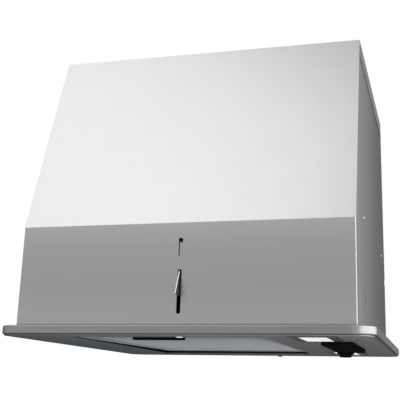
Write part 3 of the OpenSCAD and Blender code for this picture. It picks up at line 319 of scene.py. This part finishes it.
# Materials of single pieces, where the photograph shows another tone than their slot's
# Painted shade: a near-black copy of the galvanised sheet, for the lever slide and its guides.
shaded_zinc = galvanised("galvanised_shaded", 0.05, 0.5)
rivet_steel = steel("rivet_steel", 0.45, 0.3, "Z", tint=0.9)
plate_screw_steel = steel("plate_screw_steel", STEEL * 0.55, 0.4, "Z", tint=0.12)
OWN = {
    "side_panel_left": side_steel("hood_steel_left", -1),
    "side_panel_right": side_steel("hood_steel_right", 1),
    "front_panel": steel("hood_steel_front", STEEL, tones=FRONT_PAINTED_LIGHT),
    "rim_frame": steel("hood_steel_rim", STEEL * 0.64, tones=RIM_PAINTED_LIGHT),
    "bottom_plate": steel("hood_steel_plate", STEEL * 0.9, 0.42, tint=0.12, tones=PLATE_PAINTED_LIGHT),
    "side_rivets": rivet_steel,
    "flow_slide": steel("slide_steel", STEEL * 0.9, tones=FLOW_PAINTED_SHADE),
    "lever_slide": shaded_zinc,
    "slide_guides": shaded_zinc,
    "lamp_bezels": steel("bezel_steel", STEEL * 0.55, 0.4, tint=0.12),
    "lever_handle": steel("lever_steel", STEEL, grain="Z", tones=LEVER_PAINTED_SHADE),
    # Painted light: the light button glows though it is no lamp.
    "light_button": plastic("button_white", (0.90, 0.90, 0.90), 0.30, 0.4, emit=0.28),
    "filter_frame": aluminium("frame_aluminium", 0.47, cold=0.18, tones=FILTER_PAINTED_LIGHT),
}
# Edge rounding in metres
ROUND = {
    "timer_housing": 0.0006,
    "handle_cup": 0.0004,
    "latch_slider": 0.0002,
    "lamp_bezels": 0.0003,
    "lever_handle": 0.00025,
    "flow_pin": 0.0003,
    "light_button": 0.0003,
    "filter_frame": 0.0002,
    "light_switch_body": 0.0002,
    "cable_gland": 0.0004,
}
WELD_GAP = 0.000004
ROUND_ANGLE = math.radians(35)


# Nodes carried over from the solid model
def dress(name):
    o = nodes[name]
    o.data.materials.clear()
    o.data.materials.append(OWN.get(name) or LOOKS[slot_of[name]])
    if name in ROUND:
        w = o.modifiers.new("weld", "WELD")
        w.merge_threshold = WELD_GAP
        b = o.modifiers.new("edges", "BEVEL")
        b.width, b.segments, b.limit_method = ROUND[name], 2, "ANGLE"
        b.angle_limit = ROUND_ANGLE
        b.harden_normals = True
        b.use_clamp_overlap = True


for name in nodes:
    dress(name)


# Pieces drawn in finer detail than their solids
def islands(name):
    """Boxes (lowest corner, highest corner) of the separate solids in a node, in metres."""
    me = nodes[name].data
    mw = nodes[name].matrix_world
    key, root = {}, []

    def find(i):
        while root[i] != i:
            root[i] = root[root[i]]
            i = root[i]
        return i

    index = []
    for v in me.vertices:
        c = mw @ v.co
        k = tuple(round(t, 6) for t in c)
        if k not in key:
            key[k] = len(root)
            root.append(len(root))
        index.append(key[k])
    for e in me.edges:
        a, b = find(index[e.vertices[0]]), find(index[e.vertices[1]])
        root[a] = b
    boxes = {}
    for k, i in key.items():
        lo, hi = boxes.setdefault(find(i), (list(k), list(k)))
        for t in range(3):
            lo[t], hi[t] = min(lo[t], k[t]), max(hi[t], k[t])
    return sorted((Vector(lo), Vector(hi)) for lo, hi in boxes.values())


def solid(name, verts, faces, mat, slot, split=40):
    """A mesh object, smooth except at creases sharper than split degrees; split 0 leaves it flat."""
    me = bpy.data.meshes.new(name)
    me.from_pydata(verts, [], faces)
    bm = bmesh.new()
    bm.from_mesh(me)
    bmesh.ops.recalc_face_normals(bm, faces=bm.faces)
    bm.to_mesh(me)
    bm.free()
    o = bpy.data.objects.new(name, me)
    bpy.context.scene.collection.objects.link(o)
    me.materials.append(mat)
    if split:
        for f in me.polygons:
            f.use_smooth = True
        m = o.modifiers.new("creases", "EDGE_SPLIT")
        m.split_angle = math.radians(split)
    return o


def turned(profile, n=48, wave=None):
    """Verts and faces of a profile [(r, z), ...] in mm turned about Z, in metres.

    wave(k, angle) scales the radius of ring k.
    """
    verts, faces, rows = [], [], []
    for k, (r, z) in enumerate(profile):
        if r == 0:
            rows.append([len(verts)])
            verts.append((0.0, 0.0, z * MM))
            continue
        row = []
        for i in range(n):
            a = 2 * math.pi * i / n
            q = r * MM * (wave(k, a) if wave else 1.0)
            row.append(len(verts))
            verts.append((q * math.cos(a), q * math.sin(a), z * MM))
        rows.append(row)
    for a, b in zip(rows, rows[1:]):
        for i in range(n):
            j = (i + 1) % n
            if len(a) == 1:
                faces.append((a[0], b[i], b[j]))
            elif len(b) == 1:
                faces.append((a[i], a[j], b[0]))
            else:
                faces.append((a[i], a[j], b[j], b[i]))
    return verts, faces


def joined(parts):
    verts, faces = [], []
    for v, f in parts:
        k = len(verts)
        verts += v
        faces += [tuple(i + k for i in q) for q in f]
    return verts, faces


def placed(part, matrix):
    v, f = part
    return [tuple(matrix @ Vector(p)) for p in v], f


# Faces of a box whose corners come bottom four first, in rows
BOX_FACES = [(0, 1, 3, 2), (4, 5, 7, 6), (0, 1, 5, 4), (2, 3, 7, 6), (0, 2, 6, 4), (1, 3, 7, 5)]


# Blind rivets: a domed head with the hole of the pulled pin, a shank and a swollen tail
RIVET_HEAD = 1.0


def rivet(head_r, tail_h):
    head_h, shank_r, grip, tail_r = RIVET_HEAD, 1.6, 2.0, 2.4
    return turned([
        (0, head_h - 0.35), (0.75, head_h - 0.35), (0.95, head_h - 0.03), (head_r * 0.5, head_h - 0.06),
        (head_r * 0.75, head_h * 0.74), (head_r * 0.93, head_h * 0.38), (head_r, head_h * 0.1), (head_r, 0),
        (shank_r, 0), (shank_r, -grip), (tail_r, -grip), (tail_r, -grip - tail_h * 0.5),
        (tail_r * 0.6, -grip - tail_h * 0.95), (0, -grip - tail_h)], 40)


def rivets(name, node, shape, seats):
    o = solid(name, *joined([placed(shape, m) for m in seats]), rivet_steel, slot_of[node])
    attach(o, "hood")
    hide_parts(node)


def side_seat(lo, hi):
    mid = (lo + hi) / 2
    s = 1 if lo.x > 0 else -1
    face = (hi.x if s > 0 else lo.x) - s * RIVET_HEAD * MM
    return Matrix.Translation((face, mid.y, mid.z)) @ Matrix.Rotation(s * math.pi / 2, 4, "Y")


def top_seat(lo, hi):
    mid = (lo + hi) / 2
    return Matrix.Translation((mid.x, mid.y, hi.z - RIVET_HEAD * MM))


rivets("side_rivets_fine", "side_rivets", rivet(head_r=3.2, tail_h=1.4),
       [side_seat(lo, hi) for lo, hi in islands("side_rivets")])
rivets("collar_rivets_fine", "collar_rivets", rivet(head_r=3.0, tail_h=1.2),
       [top_seat(lo, hi) for lo, hi in islands("collar_rivets")])


# Pan-head screws with a cross recess, head down
def screw(head_r, head_h, shank_r, shank_l):
    tip = 0.8
    body = solid("screw_blank", *turned([
        (0, -head_h), (head_r * 0.45, -head_h + 0.02), (head_r * 0.78, -head_h * 0.86),
        (head_r * 0.95, -head_h * 0.55), (head_r, -head_h * 0.2), (head_r, 0), (shank_r, 0),
        (shank_r, shank_l - tip), (shank_r * 0.6, shank_l), (0, shank_l)], 40), rivet_steel, "spring_steel")
    arm, wide, deep = head_r * 0.55, head_r * 0.14, head_h * 0.62
    for k, (ax, ay) in enumerate(((arm, wide), (wide, arm))):
        v = [(sx * ax * q * MM, sy * ay * q * MM, z * MM)
             for z, q in ((-head_h - 0.3, 1.0), (-head_h + deep, 0.55))
             for sx in (-1, 1) for sy in (-1, 1)]
        cut = solid("screw_cutter_%d" % k, v, BOX_FACES, rivet_steel, "spring_steel", 0)
        b = body.modifiers.new("recess_%d" % k, "BOOLEAN")
        b.object, b.operation, b.solver = cut, "DIFFERENCE", "EXACT"
    graph = bpy.context.evaluated_depsgraph_get()
    me = bpy.data.meshes.new_from_object(body.evaluated_get(graph))
    part = [tuple(v.co) for v in me.vertices], [tuple(q.vertices) for q in me.polygons]
    for o in [body] + [b.object for b in body.modifiers if b.type == "BOOLEAN"]:
        bpy.data.objects.remove(o)
    bpy.data.meshes.remove(me)
    return part


def screws(name, node, head_r, head_h, turn):
    """Turn is the first recess's angle in degrees; each further screw stands 37 degrees on."""
    shank_r, turn_step = 1.9, 37
    parts = []
    for k, (lo, hi) in enumerate(islands(node)):
        mid = (lo + hi) / 2
        seat = lo.z + head_h * MM
        part = screw(head_r, head_h, shank_r, (hi.z - seat) / MM)
        spin = Matrix.Rotation(math.radians(turn + turn_step * k), 4, "Z")
        parts.append(placed(part, Matrix.Translation((mid.x, mid.y, seat)) @ spin))
    o = solid(name, *joined(parts), plate_screw_steel, slot_of[node], 30)
    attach(o, "hood")
    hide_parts(node)


screws("plate_screws_fine", "plate_screws", head_r=3.6, head_h=1.4, turn=12)
screws("rear_screw_fine", "rear_screw", head_r=5.0, head_h=2.4, turn=55)


# Timer knob: a skirt with a rounded edge, a fluted grip and a pointer ridge
def knob():
    skirt_w, skirt_h, flute_count, flute_depth = 4.5, 3.1, 22, 0.055
    lo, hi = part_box("timer_knob")
    c = (Vector(lo) + Vector(hi)) / 2
    r = (hi[0] - lo[0]) / 2 / MM
    h = (hi[2] - lo[2]) / MM
    grip = r - skirt_w
    skirt = turned([
        (0, h - 0.2), (r - 1.2, h - 0.2), (r - 0.3, h - 0.35), (r, h - 0.8), (r, h - 2.3), (r - 0.5, h - 2.9),
        (r - 1.4, h - skirt_h), (grip - 1, h - skirt_h), (0, h - skirt_h)], 96)

    def flutes(k, a):
        return 1 - (flute_depth if 1 <= k <= 4 else 0.0) * (0.5 + 0.5 * math.cos(flute_count * a)) ** 1.5

    top = turned([
        (0, h - 3.0), (grip + 0.7, h - 3.0), (grip + 0.5, 3.2), (grip + 0.2, 1.6), (grip - 0.4, 0.7),
        (grip - 1.5, 0.15), (grip - 2.3, 0.05), (grip - 2.8, 0.5), (grip - 3.4, 0.9), (0, 0.9)],
        8 * flute_count, flutes)
    half_w, out, low = 1.1, r - 0.8, h - 4.4
    ridge = [(sx * half_w * q * MM, y * MM, z * MM)
             for z, q in ((0.35, 0.55), (low, 1.0)) for y in (-grip + 3.5, out) for sx in (-1, 1)]
    foot = [(sx * half_w * MM, y * MM, z * MM)
            for z in (low, h - 3.0) for y in (grip - 1, out) for sx in (-1, 1)]
    part = joined([skirt, top, (ridge, BOX_FACES), (foot, BOX_FACES)])
    o = solid("timer_knob_fine", *placed(part, Matrix.Translation((c.x, c.y, lo[2]))), LOOKS["black_plastic"],
              slot_of["timer_knob"], 35)
    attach(o, "timer")
    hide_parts("timer_knob")


knob()

# The filter leans by the drop of its front edge over its depth from the rear pins, in mm
FILTER_DROP, FILTER_DEPTH, FILTER_PIN_IN = 4.0, 464.0, 6.0
FILTER_LEAN = math.asin(FILTER_DROP / (FILTER_DEPTH - FILTER_PIN_IN))


# Compression springs with close-wound ends
def coil(r, wire, length, turns):
    """A wound wire along Z; its end turns lie flat, its middle turns stand apart."""
    steps, sides, flat = 28, 10, 0.9
    n = int(turns * steps)
    tight = 1.9 * wire
    pitch = (length - 2 * wire - 2 * flat * tight) / (turns - 2 * flat)
    verts, faces = [], []
    for i in range(n + 1):
        t = i / steps
        z = wire + min(t, flat) * tight + max(0.0, min(t, turns - flat) - flat) * pitch
        z += max(0.0, t - (turns - flat)) * tight
        a = 2 * math.pi * t
        for k in range(sides):
            b = 2 * math.pi * k / sides
            q = r + wire * math.cos(b)
            verts.append((q * math.cos(a), q * math.sin(a), z + wire * math.sin(b)))
    for i in range(n):
        for k in range(sides):
            a, b = i * sides + k, i * sides + (k + 1) % sides
            faces.append((a, b, b + sides, a + sides))
    faces.append(tuple(reversed(range(sides))))
    faces.append(tuple(range(n * sides, (n + 1) * sides)))
    return verts, faces


def spring(name, node, body, axis, wire, turns, aim):
    """Wire is its radius in mm."""
    k = "xyz".index(axis)
    boxes = islands(node)
    parts = []
    for lo, hi in boxes:
        size = hi - lo
        length = size[k] * 0.99
        part = coil(size.x / 2 - wire * MM, wire * MM, length, turns)
        m = Matrix.Translation((lo + hi) / 2) @ aim @ Matrix.Translation((0, 0, -length / 2))
        parts.append(placed(part, m))
    o = solid(name, *joined(parts), LOOKS["spring_steel"], slot_of[node], 0)
    for f in o.data.polygons:
        f.use_smooth = True
    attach(o, body)
    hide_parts(node)
    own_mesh(o)


spring("button_spring_fine", "button_spring", "light_push", "z", wire=0.3, turns=6.0,
       aim=Matrix.Identity(4))
spring("latch_spring_fine", "latch_spring", "filter_latch", "y", wire=0.25, turns=5.5,
       aim=Matrix.Rotation(FILTER_LEAN - math.pi / 2, 4, "X"))


# Expanded net of the filter: zigzag strands that meet at their knuckles
def net():
    pin = Vector(joints["filter_swing"]["pos_m"])
    lo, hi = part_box("filter_frame")
    cad_lo, cad_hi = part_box("filter_net")
    turn = Matrix.Translation(pin) @ Matrix.Rotation(FILTER_LEAN, 4, "X") @ Matrix.Translation(-pin)
    side_in, end_in = 14 * MM, 1.5 * MM
    x0, x1 = lo[0] + side_in, hi[0] - side_in
    y0, y1 = cad_lo[1] + end_in, cad_hi[1] - end_in
    pin_over_frame, frame_sheet, half_net = 5 * MM, 0.8 * MM, 0.5 * MM
    z = pin.z - pin_over_frame + frame_sheet + half_net
    half_w, rise, wide, thick, knuckle_gap = 5.6 * MM, 3.4 * MM, 0.75 * MM, 0.2 * MM, 0.15 * MM
    cols = int((x1 - x0) / half_w)
    rows = int((y1 - y0) / rise)
    px = (x1 - x0) / cols
    py = (y1 - y0) / rows
    lean, lean_rise = math.radians(24), 0.9
    cos_l, sin_l = math.cos(lean), math.sin(lean)
    strand = [(a * cos_l - b * sin_l, a * sin_l * lean_rise + b * cos_l)
              for a, b in ((-wide, -thick), (wide, -thick), (wide, thick), (-wide, thick))]
    verts, faces = [], []
    for r in range(rows):
        base = None
        for k in range(cols + 1):
            up = 1 if (k + r) % 2 == 0 else -1
            x = x0 + k * px
            y = y0 + (r + 0.5) * py + up * (py / 2 - knuckle_gap)
            ring = list(range(len(verts), len(verts) + 4))
            verts += [tuple(turn @ Vector((x, y + dy, z + dz))) for dy, dz in strand]
            if base:
                faces += [(base[i], base[(i + 1) % 4], ring[(i + 1) % 4], ring[i]) for i in range(4)]
            else:
                faces.append(tuple(reversed(ring)))
            base = ring
        faces.append(tuple(base))
    o = solid("filter_net_fine", verts, faces, LOOKS["filter_aluminium"], slot_of["filter_net"], 0)
    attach(o, "filter")
    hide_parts("filter_net")


net()


# Pale floor, see-through from below and fading out at its edge, where no line shows against the white
FLOOR_Z, FLOOR_R = -0.32, 3.0
FADE_FROM, FADE_TO = 1.6, 2.9


def make_floor():
    bpy.ops.mesh.primitive_circle_add(vertices=96, radius=FLOOR_R, fill_type="NGON", location=(0, 0, FLOOR_Z))
    floor = bpy.context.object
    floor.name = "floor"
    n = Nodes("floor")
    n.set(Base_Color=(0.86, 0.86, 0.86, 1), Roughness=0.9, Specular_IOR_Level=0.1)
    geo = n.add("ShaderNodeNewGeometry")
    clear = n.add("ShaderNodeBsdfTransparent")
    mix = n.add("ShaderNodeMixShader")
    far = n.add("ShaderNodeVectorMath", operation="LENGTH")
    n.link(n.coords((1, 1, 0)), far.inputs[0])
    gone = n.add("ShaderNodeMath", operation="MAXIMUM")
    n.link(geo.outputs["Backfacing"], gone.inputs[0])
    n.link(n.span(far.outputs["Value"], 0.0, 1.0, FADE_FROM, FADE_TO), gone.inputs[1])
    n.link(gone.outputs[0], mix.inputs[0])
    n.link(n.bsdf.outputs[0], mix.inputs[1])
    n.link(clear.outputs[0], mix.inputs[2])
    n.link(mix.outputs[0], n.out.inputs["Surface"])
    floor.data.materials.append(n.mat)


# Soft light from all sides; the background, and what the metal mirrors of it, is white
SOFT_LIGHT, WHITE_LIGHT = 0.55, 1.0


def make_world():
    world = bpy.data.worlds.new("studio")
    bpy.context.scene.world = world
    world.use_nodes = True
    t = world.node_tree
    t.nodes.clear()
    out = t.nodes.new("ShaderNodeOutputWorld")
    mix = t.nodes.new("ShaderNodeMixShader")
    for socket, strength in ((1, SOFT_LIGHT), (2, WHITE_LIGHT)):
        glow = t.nodes.new("ShaderNodeBackground")
        glow.inputs["Color"].default_value = (1, 1, 1, 1)
        glow.inputs["Strength"].default_value = strength
        t.links.new(glow.outputs[0], mix.inputs[socket])
    path = t.nodes.new("ShaderNodeLightPath")
    seen = path.outputs["Is Camera Ray"]
    for ray in ("Is Glossy Ray", "Is Transmission Ray"):
        either = t.nodes.new("ShaderNodeMath")
        either.operation = "MAXIMUM"
        t.links.new(seen, either.inputs[0])
        t.links.new(path.outputs[ray], either.inputs[1])
        seen = either.outputs[0]
    t.links.new(seen, mix.inputs[0])
    t.links.new(mix.outputs[0], out.inputs[0])


def area(name, place, target, size, power):
    d = bpy.data.lights.new(name, "AREA")
    d.shape, d.size, d.size_y, d.energy = "RECTANGLE", size[0], size[1], power
    o = bpy.data.objects.new(name, d)
    o.location = place
    o.rotation_euler = (Vector(target) - Vector(place)).to_track_quat("-Z", "Y").to_euler()
    bpy.context.scene.collection.objects.link(o)


make_floor()
make_world()
area("key", place=(-0.87, -1.55, 1.92), target=(0, -0.2, 0.3), size=(2.2, 1.7), power=22)
area("right", place=(2.4, -0.8, 0.5), target=(0.25, -0.6, 0.2), size=(7.2, 1.0), power=66)

bpy.context.scene.view_settings.view_transform = "Standard"
